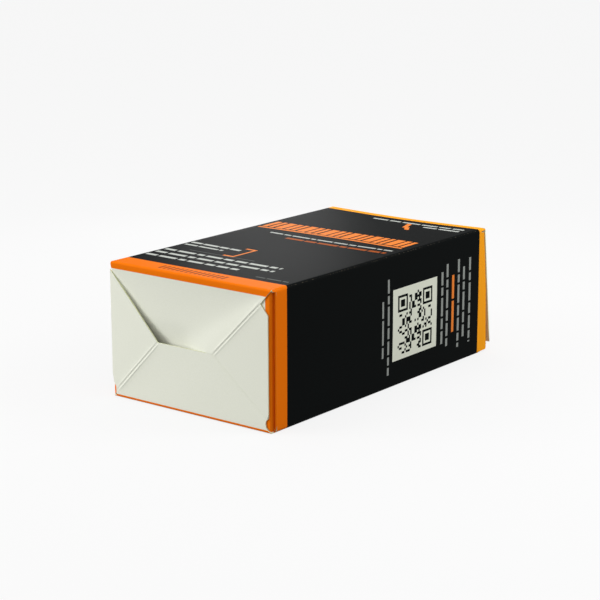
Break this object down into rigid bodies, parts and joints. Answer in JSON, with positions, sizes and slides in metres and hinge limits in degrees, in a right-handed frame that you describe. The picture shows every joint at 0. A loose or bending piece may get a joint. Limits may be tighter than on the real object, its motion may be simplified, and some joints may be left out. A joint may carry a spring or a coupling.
{
  "type": "auto lock box",
  "caption": "Tuck-top folding carton with a glued auto lock bottom, printed in dark and orange fields, with a hinged tuck lid that stands slightly ajar.",
  "frame": {"origin": "middle of the back panel's outer face, which the carton lies on", "axes": "+Y from the locked bottom to the lid, +Z from the back panel to the front panel, +X to the carton's right side as the bottom end is looked at"},
  "size_m": [0.073, 0.1346, 0.049],
  "materials": {
    "printed_board": "offset printed black and orange under a matt laminate, white inside",
    "orange_board": "offset printed orange under a matt laminate, white inside"
  },
  "bodies": {
    "carton": {"carton_body": "printed_board"},
    "lid": {"tuck_lid": "orange_board"}
  },
  "joints": [
    {"name": "lid_fold", "type": "hinge", "parent": "carton", "child": "lid", "pos_m": [0, 0.065, 0.049], "axis": [1, 0, 0], "range_deg": [0, 176]}
  ]
}
